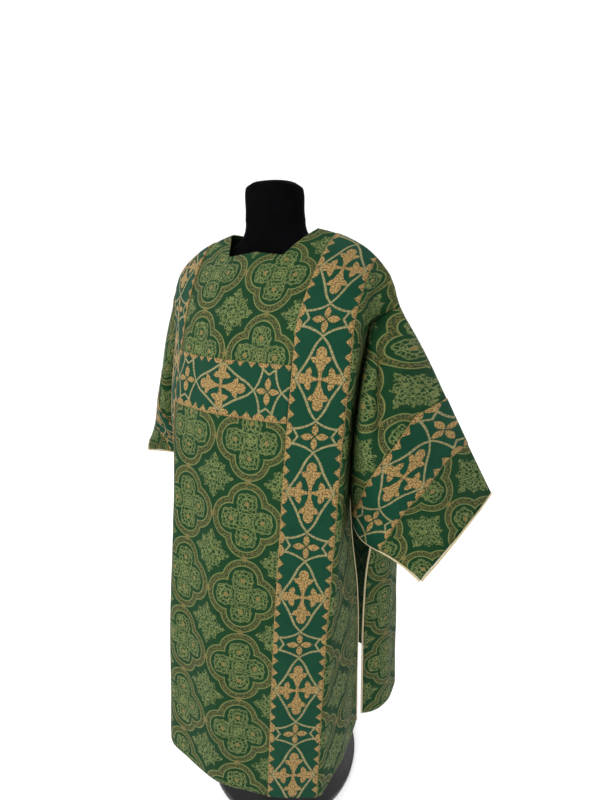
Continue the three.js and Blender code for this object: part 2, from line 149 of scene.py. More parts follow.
# Flat shape of a sleeve layer: distance along the cuff's direction at each corner.
FLAT_CREST, FLAT_CUFF_TOP, FLAT_CUFF_LOW, FLAT_UNDER = -0.110, 0.0, 0.260, 0.220

# ------------------------------------------------------------------ where the cloth creases
# Each crease runs between two places in the cloth: across from the middle, and down from TOP.
# A positive height is a ridge, a negative one a trough.
# Columns: across, down, across at the end, down at the end, width, height.
CREASES = {
    "front": (
        (0.010, 0.130, 0.040, 0.300, 0.030, -0.0030),
        (-0.052, 0.140, -0.085, 0.420, 0.024, -0.0035),
        (-0.118, 0.200, -0.126, 0.760, 0.026, 0.0045),
        (-0.060, 0.420, -0.072, 1.240, 0.034, -0.0060),
        (0.022, 0.560, 0.030, 1.240, 0.040, 0.0065),
        (0.108, 0.470, 0.104, 1.240, 0.030, -0.0055),
        (0.185, 0.640, 0.172, 1.240, 0.034, 0.0040),
        (-0.190, 0.330, -0.204, 1.240, 0.028, -0.0050),
        (-0.262, 0.540, -0.290, 1.240, 0.026, 0.0070),
        (-0.345, 0.700, -0.362, 1.240, 0.026, -0.0070),
        (0.150, 0.110, 0.205, 0.225, 0.022, -0.0025),
        (0.335, 0.640, 0.352, 1.240, 0.024, 0.0060),
        (0.285, 0.090, 0.325, 0.250, 0.017, -0.0070),
    ),
    "back": (
        (-0.020, 0.150, -0.034, 0.520, 0.030, -0.0050),
        (0.070, 0.220, 0.078, 0.800, 0.030, 0.0050),
        (0.020, 0.520, 0.028, 1.240, 0.036, -0.0080),
        (-0.095, 0.380, -0.110, 1.240, 0.032, 0.0085),
        (0.128, 0.560, 0.142, 1.240, 0.030, -0.0080),
        (0.225, 0.470, 0.246, 1.240, 0.030, 0.0090),
        (-0.190, 0.640, -0.204, 1.240, 0.028, -0.0090),
        (-0.290, 0.520, -0.318, 1.240, 0.030, 0.0080),
        (0.330, 0.660, 0.352, 1.240, 0.026, -0.0085),
    ),
}
# The same on each layer of a sleeve: across is measured along the cuff from the top fold's end,
# and down is measured from the cuff towards the shoulder.
SLEEVE_CREASES = {
    "left": {
        "front": (
            (-0.085, 0.405, 0.050, 0.235, 0.015, -0.0220),
            (-0.045, 0.385, 0.085, 0.245, 0.018, 0.0080),
            (0.020, 0.290, 0.110, 0.060, 0.030, 0.0060),
            (0.160, 0.250, 0.205, 0.080, 0.022, -0.0050),
            (0.120, 0.130, 0.165, 0.000, 0.020, -0.0050),
            (0.215, 0.190, 0.240, 0.010, 0.016, 0.0050),
        ),
        "back": (
            (-0.040, 0.390, 0.050, 0.150, 0.022, -0.0100),
            (0.070, 0.330, 0.125, 0.070, 0.024, 0.0080),
            (0.165, 0.260, 0.195, 0.010, 0.018, -0.0070),
        ),
    },
    "right": {
        "front": (
            (-0.050, 0.390, 0.040, 0.180, 0.020, -0.0090),
            (0.080, 0.310, 0.140, 0.080, 0.024, 0.0060),
            (0.190, 0.200, 0.215, 0.010, 0.018, -0.0045),
        ),
        "back": (
            (-0.060, 0.400, 0.060, 0.170, 0.022, -0.0110),
            (0.075, 0.350, 0.130, 0.050, 0.022, 0.0080),
            (0.180, 0.250, 0.200, 0.010, 0.018, -0.0065),
        ),
    },
}


# ------------------------------------------------------------------ the worn shape
def mix(a, b, k):
    return a + (b - a) * k


def column(rows, names, name, at):
    """A table's column at some places: a smooth curve through its rows."""
    table = np.array(rows, float)
    x, y = table[:, 0], table[:, names.index(name)]
    low = np.maximum(np.arange(len(x)) - 1, 0)
    high = np.minimum(np.arange(len(x)) + 1, len(x) - 1)
    slope = (y[high] - y[low]) / (x[high] - x[low])
    at = np.clip(np.asarray(at, float), x[0], x[-1])
    i = np.clip(np.searchsorted(x, at, side="right") - 1, 0, len(x) - 2)
    step = x[i + 1] - x[i]
    k = (at - x[i]) / step
    return (y[i] * (2 * k**3 - 3 * k**2 + 1) + y[i + 1] * (3 * k**2 - 2 * k**3)
            + step * (slope[i] * (k**3 - 2 * k**2 + k) + slope[i + 1] * (k**3 - k**2)))


def smooth(x, low, high):
    k = np.clip((x - low) / (high - low), 0, 1)
    return k * k * (3 - 2 * k)


def half_width(side, hand, drop):
    return column(side["rows"][hand], LEVEL_COLUMNS, "half", drop)


def level(side, hand, cloth, drop):
    """Points of one level cut, at lengths of cloth from the middle."""
    row = {n: float(column(side["rows"][hand], LEVEL_COLUMNS, n, drop)) for n in LEVEL_COLUMNS[1:]}
    stations = (0, CHEST, BAND_IN, BAND_OUT, BAND_OUT + FOLD, max(row["half"], BAND_OUT + FOLD + 0.001))
    turns = (0, row["chest"], row["inner"], row["outer"], row["beyond"], row["side"])
    run = np.arange(0, row["half"] + 2 * CUT_STEP, CUT_STEP)
    turn = np.radians(np.interp(run[:-1] + CUT_STEP / 2, stations, turns))
    out = np.concatenate(([0], np.cumsum(np.cos(turn) * CUT_STEP)))
    back = np.concatenate(([0], np.cumsum(np.sin(turn) * CUT_STEP)))
    x = hand * np.interp(cloth, run, out)
    y = MIDDLE_Y + side["face"] * (row["depth"] - np.interp(cloth, run, back))
    return np.stack([x, y, np.full(len(cloth), TOP - drop)], 1)


def shoulder(side, hand, cloth, share):
    """Points of the sloping shoulder; share runs from 0 below the neck's cut to 1 on the chest."""
    rows = CREST[hand]
    along = cloth / float(half_width(side, hand, CHEST_DROP)) * rows[-1][0]
    crest = {n: column(rows, CREST_COLUMNS, n, along) for n in CREST_COLUMNS[1:]}
    top = np.stack([hand * crest["out"], crest["back"], TOP - crest["drop"]], 1)
    chest = level(side, hand, cloth, CHEST_DROP)
    start = side["neck"] * np.clip((NECK_TOP - cloth) / (NECK_TOP - NECK_FLAT), 0, 1)
    down = mix(start, 1, share)
    angle = down * math.pi / 2
    reach = mix(down, np.sin(angle), side["round"])
    fall = mix(down, 1 - np.cos(angle), side["round"])
    shares = np.stack([down, reach, fall], 1)
    return top + (chest - top) * shares


SHOULDER_ROWS = np.linspace(0, 1, 42)
DROP_ROWS = np.arange(CHEST_DROP, HEM_DROP + 0.001, STEP)[1:]
DROP_ROWS = DROP_ROWS * (HEM_DROP / DROP_ROWS[-1]) ** np.linspace(0, 1, len(DROP_ROWS))
FIXED_COLUMNS = np.concatenate([
    np.linspace(0, NECK_FLAT, 10)[:-1], np.linspace(NECK_FLAT, NECK_TOP, 8)[:-1],
    np.linspace(NECK_TOP, BAND_IN, 8)[:-1], np.linspace(BAND_IN, BAND_OUT, 17)[:-1],
    np.linspace(BAND_OUT, BAND_OUT + FOLD, 9)])
SIDE_COLUMNS = 24
IN_COLUMN = int(np.argmin(abs(FIXED_COLUMNS - BAND_IN)))
OUT_COLUMN = int(np.argmin(abs(FIXED_COLUMNS - BAND_OUT)))


def columns_at(side, hand, drop):
    """Lengths of cloth from the middle to the side edge, at one level."""
    edge = float(half_width(side, hand, drop))
    beyond = np.linspace(BAND_OUT + FOLD, edge, SIDE_COLUMNS + 1)[1:]
    return np.concatenate([FIXED_COLUMNS, beyond])


def crease_height(across, down, creases):
    """How far a set of creases moves the cloth out at some places of it."""
    total = np.zeros_like(across)
    for a, b, a_end, b_end, width, height in creases:
        run = np.array([a_end - a, b_end - b])
        length = np.hypot(*run)
        along = ((across - a) * run[0] + (down - b) * run[1]) / length**2
        aside = ((across - a) * run[1] - (down - b) * run[0]) / length
        fade = smooth(along, -0.05, 0.35) * (1 - smooth(along, 0.80, 1.10))
        total += height * np.exp(-(aside / width) ** 2) * fade
    return total


def ripple(across, down, seed):
    """A slight unevenness, mostly under a millimetre, that keeps the cloth from looking ironed."""
    random = np.random.default_rng(seed)
    total = np.zeros_like(across)
    for _ in range(WAVES):
        length = random.uniform(0.08, 0.26)
        tilt = random.normal(0, 0.35)
        phase = random.uniform(0, 2 * math.pi)
        wave = across * math.cos(tilt) + down * math.sin(tilt)
        total += RIPPLE * np.sin(2 * math.pi * wave / length + phase)
    return total


def grid_normals(points, turned):
    across = np.gradient(points, axis=1)
    down = np.gradient(points, axis=0)
    normals = np.cross(across, down) * turned
    return normals / np.linalg.norm(normals, axis=2, keepdims=True)


def panel(name):
    """A panel's fine surface: points, normals and the cloth's own coordinates."""
    side = SIDES[name]
    rows, across = [], []
    for k in range(len(SHOULDER_ROWS) + len(DROP_ROWS)):
        line, places = [], []
        for hand in (-1, 1):
            on_shoulder = k < len(SHOULDER_ROWS)
            drop = CHEST_DROP if on_shoulder else DROP_ROWS[k - len(SHOULDER_ROWS)]
            cloth = columns_at(side, hand, drop)
            if on_shoulder:
                points = shoulder(side, hand, cloth, SHOULDER_ROWS[k])
            else:
                points = level(side, hand, cloth, drop)
            line.append(points[:0:-1] if hand < 0 else points)
            places.append(-cloth[:0:-1] if hand < 0 else cloth)
        rows.append(np.concatenate(line))
        across.append(np.concatenate(places))
    points, across = np.array(rows), np.array(across)
    last = len(SHOULDER_ROWS) - 1
    steps = np.linalg.norm(np.diff(points[:last + 1], axis=0), axis=2)
    above = np.concatenate([np.cumsum(steps[::-1], axis=0)[::-1], np.zeros((1, points.shape[1]))])
    down = np.concatenate([CHEST_DROP - ARC_TO_DROP * above,
                           np.repeat(DROP_ROWS[:, None], points.shape[1], 1)])
    normals = grid_normals(points, side["face"])
    edge = np.abs(across) / np.abs(across[:, -1:] * (across > 0) - across[:, :1] * (across <= 0))
    calm = 1 - smooth(edge, 0.86, 1.0) * (down < UNDERARM_DROP + 0.05)
    calm *= np.concatenate([smooth(SHOULDER_ROWS, 0, 0.5), np.ones(len(DROP_ROWS))])[:, None]
    height = crease_height(across, down, CREASES[name]) + ripple(across, down, side["seed"])
    points = points + normals * (height * calm)[..., None]
    normals = grid_normals(points, side["face"])
    middle = (points.shape[1] - 1) // 2
    free = np.abs(np.arange(points.shape[1]) - middle) < np.argmin(abs(FIXED_COLUMNS - NECK_TOP))
    points[0, ~free, 1] += side["face"] * SEAM / 2
    normals[0, ~free, 1] = 0
    normals[0] /= np.linalg.norm(normals[0], axis=1, keepdims=True)
    return dict(points=points, normals=normals, across=across, down=down, middle=middle)


def side_edge(side, hand, first, last):
    """A panel's side edge between two levels: points, directions out of the cloth, and normals."""
    j = -1 if hand > 0 else 0
    down = side["down"][:, j]
    use = (down >= first - 1e-6) & (down <= last + 1e-6)
    points = side["points"][use, j]
    away = points - side["points"][use, j - hand if hand > 0 else 1]
    return points, away / np.linalg.norm(away, axis=1, keepdims=True), side["normals"][use, j]


# ------------------------------------------------------------------ the sleeves
def belly_at(u):
    def swell(k):
        return (k / BELLY_AT) * np.exp(1 - k / BELLY_AT)
    return swell(u) - u * swell(1.0)


# Columns of a sleeve's mesh: shoulder to band, over the band, and band to cuff.
SLEEVE_MEASURES = np.linspace(0, 1, 30)[:-1] ** 1.3
BAND_STEPS = 16
CUFF_STEPS = 17
LAYER_ROWS = 62
LOOSE_FROM = len(SLEEVE_MEASURES) * 4 // 5   # column where the piping of a lower edge starts


def sleeve_layer(spec, layer, face, seam, creases):
    """One layer of a sleeve, from its seam to the cuff."""
    def corner(c):
        return np.array([spec["hand"] * c["out"], c["back"], TOP - c["drop"]])
    a, b, c, d = seam[0], corner(spec["crest"]), corner(layer), seam[-1]
    steps = np.linalg.norm(np.diff(seam, axis=0), axis=1)
    run = np.concatenate([[0], np.cumsum(steps)]) / steps.sum()
    shares = np.linspace(0, 1, LAYER_ROWS)
    start = np.stack([np.interp(shares, run, seam[:, k]) for k in range(3)], 1)
    points, across, measures = [], [], []
    for v, origin in zip(shares, start):
        reach = mix(SLEEVE_TOP, SLEEVE_UNDER, v)
        measure = np.concatenate([
            mix(reach, SLEEVE_BAND[1], SLEEVE_MEASURES),
            np.linspace(SLEEVE_BAND[1], SLEEVE_BAND[0], BAND_STEPS + 1)[:-1],
            np.linspace(SLEEVE_BAND[0], 0, CUFF_STEPS)])
        u = (1 - measure / reach)[:, None]
        bow = math.sin(math.pi * v**0.7)
        cuff = mix(b, c, v) + np.array([0, face * layer["bow"] * bow, 0])
        p = (mix(a, b, u) * (1 - v) + mix(d, c, u) * v + origin * (1 - u) + cuff * u
             - a * (1 - u) * (1 - v) - b * u * (1 - v) - c * u * v - d * (1 - u) * v)
        swell = layer["belly"] * (0.8 * bow + layer["foot"] * v) * belly_at(u)
        p = p + swell * np.array([spec["hand"] * layer["lean"], face, 0])
        p = p - np.array([0, 0, layer["sag"] * v * v]) * belly_at(u)
        points.append(p)
        u = u[:, 0]
        across.append(mix(mix(FLAT_CREST, FLAT_UNDER, v), mix(FLAT_CUFF_TOP, FLAT_CUFF_LOW, v), u))
        measures.append(measure)
    across, measures = np.array(across), np.array(measures)
    height = crease_height(across, measures, creases) + ripple(across, measures, SLEEVE_SEED + face)
    height *= smooth(1 - measures / measures[:, :1], 0.0, 0.16) * smooth(shares, 0.0, 0.14)[:, None]
    return np.array(points), across, measures, height


def sleeve(name, panels):
    """A whole sleeve's fine surface, from the front layer's lower edge over the fold to the back's."""
    spec = SLEEVES[name]
    seams = []
    for place in ("front", "back"):
        points, away, _ = side_edge(panels[place], spec["hand"], -1, UNDERARM_DROP + STEP / 2)
        seams.append(points + away * SEAM)
    seams[0][0] = seams[1][0] = (seams[0][0] + seams[1][0]) / 2
    layers = [sleeve_layer(spec, spec[place], face, seam, SLEEVE_CREASES[name][place])
              for place, face, seam in (("front", -1, seams[0]), ("back", 1, seams[1]))]
    points, across, down, height = (np.concatenate([f[::-1], b[1:]]) for f, b in zip(*layers))
    points = points + grid_normals(points, spec["hand"]) * height[..., None]
    return dict(points=points, normals=grid_normals(points, spec["hand"]), across=across, down=down)


# ------------------------------------------------------------------ meshes
def new_object(name, vertices, faces, uvs, slots=None):
    """A smooth mesh object with two UV maps: Cut, in the cloth's metres, and OFBake, unfolded."""
    mesh = bpy.data.meshes.new(name)
    mesh.from_pydata(vertices.tolist(), [], [[int(i) for i in face] for face in faces])
    for layer_name, values in uvs.items():
        layer = mesh.uv_layers.new(name=layer_name)
        layer.data.foreach_set("uv", np.asarray(values, np.float32).ravel())
    if slots is not None:
        mesh.polygons.foreach_set("material_index", slots)
    mesh.polygons.foreach_set("use_smooth", np.ones(len(mesh.polygons), bool))
    mesh.update()
    piece = bpy.data.objects.new(name, mesh)
    bpy.context.scene.collection.objects.link(piece)
    return piece


def wall(name, surface, rows, columns, outer, inner, cut, taper=0.0):
    """A closed thin wall over part of a surface. cut gives the cloth coordinates of its points."""
    pick = (slice(rows[0], rows[1] + 1), slice(columns[0], columns[1] + 1))
    points, normals = surface["points"][pick], surface["normals"][pick]
    if taper:
        points = points.copy()
        for j, n in ((0, 1), (-1, -2)):
            run = points[:, n] - points[:, j]
            points[:, j] += run * (taper / np.linalg.norm(run, axis=1, keepdims=True))
    across, down = surface["across"][pick], surface["down"][pick]
    n_rows, n_columns = across.shape
    vertices = np.concatenate([(points + normals * outer).reshape(-1, 3),
                               (points + normals * inner).reshape(-1, 3)])
    index = np.arange(n_rows * n_columns).reshape(n_rows, n_columns)
    under = n_rows * n_columns
    quads = np.stack([index[:-1, :-1], index[:-1, 1:], index[1:, 1:], index[1:, :-1]], -1).reshape(-1, 4)
    rim = np.concatenate([index[0, :-1], index[:-1, -1], index[-1, :0:-1], index[:0:-1, 0]])
    after = np.roll(rim, -1)
    strip = np.stack([rim, under + rim, under + after, after], 1)
    a, b, c = (vertices[quads[:, k]] for k in (0, 1, 2))
    facing = np.einsum("ij,ij->", np.cross(b - a, c - a), normals.reshape(-1, 3)[quads[:, 0]])
    if facing > 0:
        faces = np.concatenate([quads, under + quads[:, ::-1], strip])
    else:
        faces = np.concatenate([quads[:, ::-1], under + quads, strip[:, ::-1]])
    u, v = cut(across, down)
    cloth = np.tile(np.stack([u.ravel(), v.ravel()], 1), (2, 1))
    share = np.stack(np.meshgrid(np.linspace(0, 1, n_columns), np.linspace(0, 1, n_rows)), -1)
    share = share.reshape(-1, 2)
    laid = np.concatenate([share * (0.98, 0.58) + (0.01, 0.01), share * (0.98, 0.34) + (0.01, 0.61)])
    bake = laid[faces]
    place = np.linspace(0.01, 0.99, len(strip) + 1)
    ends = np.stack([place[:-1], place[:-1], place[1:], place[1:]], 1)
    heights = np.tile([0.965, 0.985, 0.985, 0.965], (len(strip), 1))
    if facing <= 0:
        ends, heights = ends[:, ::-1], heights[:, ::-1]
    bake[-len(strip):] = np.stack([ends, heights], -1)
    slots = np.zeros(len(faces), int)
    slots[len(quads):2 * len(quads)] = 1
    uvs = {"Cut": cloth[faces].reshape(-1, 2), "OFBake": bake.reshape(-1, 2)}
    return new_object(name, vertices, faces, uvs, slots)


def tube(name, line, normals, away):
    """A round cord that lies beside an edge, with the slight puckers of piping."""
    run = np.gradient(line, axis=0)
    beside = np.cross(run, normals)
    beside /= np.linalg.norm(beside, axis=1, keepdims=True)
    beside *= np.sign(np.einsum("ij,ij->i", beside, away))[:, None]
    centre = line + beside * (PIPING_RADIUS + PIPING_GAP) - normals * CLOTH / 2
    length = np.concatenate([[0], np.cumsum(np.linalg.norm(np.diff(centre, axis=0), axis=1))])
    angle = np.arange(PIPING_SIDES) * 2 * math.pi / PIPING_SIDES
    pucker = 1 + 0.05 * np.sin(2 * math.pi * length[:, None] / 0.011 + 2 * angle[None])
    cos, sin = np.cos(angle)[None, :, None], np.sin(angle)[None, :, None]
    ring = cos * beside[:, None] + sin * normals[:, None]
    points = centre[:, None] + ring * (PIPING_RADIUS * pucker)[..., None]
    return tube_mesh(name, points, length, 2 * math.pi * PIPING_RADIUS)


def tube_mesh(name, points, length, around):
    """Joins rings of points into a closed tube, with its cloth coordinates."""
    count, sides = points.shape[:2]
    index = np.arange(count * sides).reshape(count, sides)
    following = np.roll(index, -1, axis=1)
    quads = np.stack([index[:-1], following[:-1], following[1:], index[1:]], -1).reshape(-1, 4)
    vertices = points.reshape(-1, 3)
    centre = points[0].mean(0)
    a, b, d = (vertices[quads[0][k]] for k in (0, 1, 3))
    if np.dot(np.cross(b - a, d - a), a - centre) < 0:
        quads = quads[:, ::-1]
        caps = [index[0], index[-1][::-1]]
    else:
        caps = [index[0][::-1], index[-1]]
    faces = [list(q) for q in quads] + [list(c) for c in caps]
    i, k = np.divmod(quads, sides)
    closing = k.max(1, keepdims=True) == sides - 1
    k = k + sides * (k == 0) * closing
    share = length / length[-1]
    cut = np.stack([k / sides * around, length[i]], -1).reshape(-1, 2)
    bake = np.stack([0.01 + 0.9 * k / sides, 0.01 + 0.98 * share[i]], -1).reshape(-1, 2)
    angle = np.arange(sides) * 2 * math.pi / sides
    disc = np.stack([np.cos(angle), np.sin(angle)], 1)
    cap_uv = [disc * 0.03 + (0.955, 0.1), disc * 0.03 + (0.955, 0.9)]
    uvs = {"Cut": np.concatenate([cut, disc * around / 6, disc * around / 6]),
           "OFBake": np.concatenate([bake, *cap_uv])}
    return new_object(name, vertices, faces, uvs)


# ------------------------------------------------------------------ materials
class Value:
    """A number worked out at each point of a surface. Each operation adds one Math node."""

    def __init__(self, tree, socket):
        self.tree = tree
        self.socket = socket

    def node(self, operation, *others, clamp=False):
        node = self.tree.nodes.new("ShaderNodeMath")
        node.operation = operation
        node.use_clamp = clamp
        for slot, value in enumerate((self, *others)):
            if isinstance(value, Value):
                self.tree.links.new(value.socket, node.inputs[slot])
            else:
                node.inputs[slot].default_value = value
        return Value(self.tree, node.outputs[0])

    def __add__(self, other):
        return self.node("ADD", other)

    def __sub__(self, other):
        return self.node("SUBTRACT", other)

    def __rsub__(self, other):
        return (self * -1) + other

    def __mul__(self, other):
        return self.node("MULTIPLY", other)

    def __truediv__(self, other):
        return self.node("DIVIDE", other)

    __radd__ = __add__
    __rmul__ = __mul__

    def abs(self):
        return self.node("ABSOLUTE")

    def min(self, other):
        return self.node("MINIMUM", other)

    def max(self, other):
        return self.node("MAXIMUM", other)

    def sin(self):
        return self.node("SINE")

    def wrap(self, half):
        """The same number, folded into -half to half."""
        return self.node("WRAP", half, -half)

    def over(self, edge, blur):
        """1 where the number is above edge and 0 below, with a soft step between."""
        return ((self - edge) / blur + 0.5).node("ADD", 0.0, clamp=True)

    def under(self, edge, blur):
        return 1 - self.over(edge, blur)


def length_of(x, y):
    return (x * x + y * y).node("SQRT")


class Finish:
    """A material in the making, with the cloth's coordinates to hand."""

    def __init__(self, name, **constants):
        self.material = bpy.data.materials.new(name)
        self.material.use_nodes = True
        self.tree = self.material.node_tree
        self.shader = self.tree.nodes["Principled BSDF"]
        for socket, value in constants.items():
            self.shader.inputs[socket.replace("_", " ")].default_value = value

    def add(self, kind, **settings):
        node = self.tree.nodes.new(kind)
        for key, value in settings.items():
            setattr(node, key, value)
        return node

    def cloth(self):
        """Across and down, in metres of cloth."""
        source = self.add("ShaderNodeUVMap", uv_map="Cut")
        split = self.add("ShaderNodeSeparateXYZ")
        self.tree.links.new(source.outputs["UV"], split.inputs[0])
        self.vector = source.outputs["UV"]
        return Value(self.tree, split.outputs[0]), Value(self.tree, split.outputs[1])

    def around(self):
        """Coordinates fixed to the object, for finishes without a cut."""
        self.vector = self.add("ShaderNodeTexCoord").outputs["Object"]

    def noise(self, scale, detail=2.0):
        node = self.add("ShaderNodeTexNoise")
        node.inputs["Scale"].default_value = scale
        node.inputs["Detail"].default_value = detail
        self.tree.links.new(self.vector, node.inputs["Vector"])
        return Value(self.tree, node.outputs["Fac"])

    def cells(self, scale):
        """How far a place lies from the nearest wall between cells."""
        node = self.add("ShaderNodeTexVoronoi", feature="DISTANCE_TO_EDGE")
        node.inputs["Scale"].default_value = scale
        self.tree.links.new(self.vector, node.inputs["Vector"])
        return Value(self.tree, node.outputs["Distance"])

    def blend(self, share, low, high):
        """A colour between two others, each a colour or a socket."""
        node = self.add("ShaderNodeMix", data_type="RGBA")
        self.tree.links.new(share.socket, node.inputs[0])
        for slot, colour in ((6, low), (7, high)):
            if isinstance(colour, bpy.types.NodeSocket):
                self.tree.links.new(colour, node.inputs[slot])
            else:
                node.inputs[slot].default_value = (*colour, 1)
        return node.outputs[2]

    def paint(self, colour):
        self.tree.links.new(colour, self.shader.inputs["Base Color"])

    def set(self, socket, value):
        self.tree.links.new(value.socket, self.shader.inputs[socket])

    def bump(self, height, distance):
        node = self.add("ShaderNodeBump")
        node.inputs["Strength"].default_value = 1.0
        node.inputs["Distance"].default_value = distance
        self.tree.links.new(height.socket, node.inputs["Height"])
        self.tree.links.new(node.outputs[0], self.shader.inputs["Normal"])


GREEN = (0.0045, 0.0340, 0.0090)
GREEN_DEEP = (0.0022, 0.0200, 0.0060)
REVERSE_DEEP = (0.0030, 0.0240, 0.0100)
GREEN_THREAD = (0.160, 0.190, 0.062)
GOLD_THREAD = (0.185, 0.140, 0.045)
BAND_GREEN = (0.0022, 0.0400, 0.0180)
BAND_GREEN_DEEP = (0.0015, 0.0260, 0.0130)
BAND_GOLD = (0.300, 0.195, 0.070)
BAND_LINE = (0.230, 0.205, 0.095)

PITCH = 0.1575               # from one ring of the brocade to the next
RING_DROP = 0.134            # a ring's centre, down the cloth
REPEAT = 0.210               # length of the woven band's figure
THREAD = 0.0011              # pitch of the twill's diagonal
FAINT = {"brocade": 0.25, "band": 0.20}   # the figures' strength on the cloth's reverse

# The brocade's figure, in pitches.
LOBE_OUT = 0.212             # a lobe's centre, from its ring's
LOBE_RADIUS = 0.283
BORDER = 0.086               # width of a ring's border
KNOT = 0.040                 # radius of the knot where two rings touch
SPRAY = 0.150                # radius of the spray in each lobe
HEART = 0.100                # radius of the spray in the middle of a ring
ROSETTE = 0.228              # radius of the rosette between four rings
BLUR = 0.008                 # width of a figure's soft edge


def weave(finish, across, down):
    """The threads: a fine twill, and the uneven glint of metal thread."""
    diagonal = ((across + down) * (2 * math.pi / THREAD)).sin()
    glint = finish.noise(900, 3.0)
    return diagonal, glint


def darker(colour, share):
    return tuple(share * c for c in colour)


def brocade(name, front=True):
    """Rings of four lobes that touch at gold knots, sprays inside them and rosettes between."""
    finish = Finish(name, Specular_IOR_Level=0.10)
    across, down = finish.cloth()
    x = (across / PITCH - 0.5).wrap(0.5)
    y = ((down - RING_DROP) / PITCH).wrap(0.5)
    side, rise = x.abs(), y.abs()
    far, near = side.max(rise), side.min(rise)
    lobe = length_of(far - LOBE_OUT, near)
    ring = lobe - LOBE_RADIUS

    def line(value, at, width):
        return (value - at).abs().under(width, BLUR)

    border = ring.under(-0.006, BLUR) * ring.over(-BORDER, BLUR)
    outlines = line(ring, -0.008, 0.006).max(line(ring, -BORDER, 0.006))
    knot = length_of(far - 0.5, near).under(KNOT, BLUR)

    heart_distance = length_of(x, y)
    turn = (near / (far - LOBE_OUT).abs().max(0.001)).node("ARCTANGENT")
    petals = (turn * 6).sin() * 0.012
    spray = (lobe + petals).under(SPRAY, BLUR) * heart_distance.over(0.118, BLUR)
    pupil = lobe.under(0.030, BLUR)
    eye = pupil.max(line(lobe, 0.075, 0.008) * 0.8)
    eye = eye.max(line(lobe + petals, SPRAY - 0.012, 0.008) * 0.7)
    heart = heart_distance.under(HEART, BLUR)
    heart_lines = line(heart_distance, HEART - 0.002, 0.007).max(line(heart_distance, HEART / 2, 0.008))

    corner_x, corner_y = 0.5 - side, 0.5 - rise
    star_distance = length_of(corner_x, corner_y)
    star_turn = corner_y.node("ARCTAN2", corner_x)
    points = (star_turn * 8).node("COSINE") * 0.028 + (star_turn * 4).node("COSINE") * 0.030
    feathers = (star_turn * 24).node("COSINE") * 0.010
    star = (star_distance - points - feathers).under(ROSETTE, BLUR)
    star_lines = line(star_distance - points, 0.168, 0.006)
    star_lines = star_lines.max(line(star_distance - points * 0.6, 0.085, 0.008))
    star_lines = star_lines.max(star_distance.under(0.028, BLUR))
    rays = (star_turn * 16).node("COSINE").over(0.3, 0.5) * star_distance.over(0.095, BLUR)

    filigree = finish.cells(135).under(0.070, 0.050)
    stipple = finish.noise(290, 2.0).over(0.52, 0.07)
    leafy = filigree * (0.70 + 0.30 * stipple)
    sprays = spray.max(heart).max(star)
    inside = eye.max(heart_lines * heart).max(star_lines * star)
    green_figure = (sprays * leafy).max(inside * 0.75).max(rays * star * stipple * 0.8).max(outlines)
    gold_figure = (border * (0.06 + 0.54 * stipple)).max(knot * (0.45 + 0.55 * stipple))
    gold_figure = gold_figure.max(eye * pupil)

    diagonal, glint = weave(finish, across, down)
    cloudy = finish.noise(9, 3.0)
    ground = finish.blend(cloudy, GREEN_DEEP if front else REVERSE_DEEP, GREEN)
    thread = finish.blend(glint, darker(GREEN_THREAD, 0.60), GREEN_THREAD)
    gold = finish.blend(glint, darker(GOLD_THREAD, 0.55), GOLD_THREAD)
    strength = 1.0 if front else FAINT["brocade"]
    colour = finish.blend(green_figure * strength, ground, thread)
    colour = finish.blend(gold_figure * strength, colour, gold)
    finish.paint(colour)
    figure = green_figure.max(gold_figure)
    finish.set("Roughness", 0.80 - figure * 0.18)
    finish.set("Metallic", figure * 0.12 * strength)
    finish.bump(figure * 0.7 + diagonal * 0.10 + glint * 0.35, 0.0005)
    return finish.material


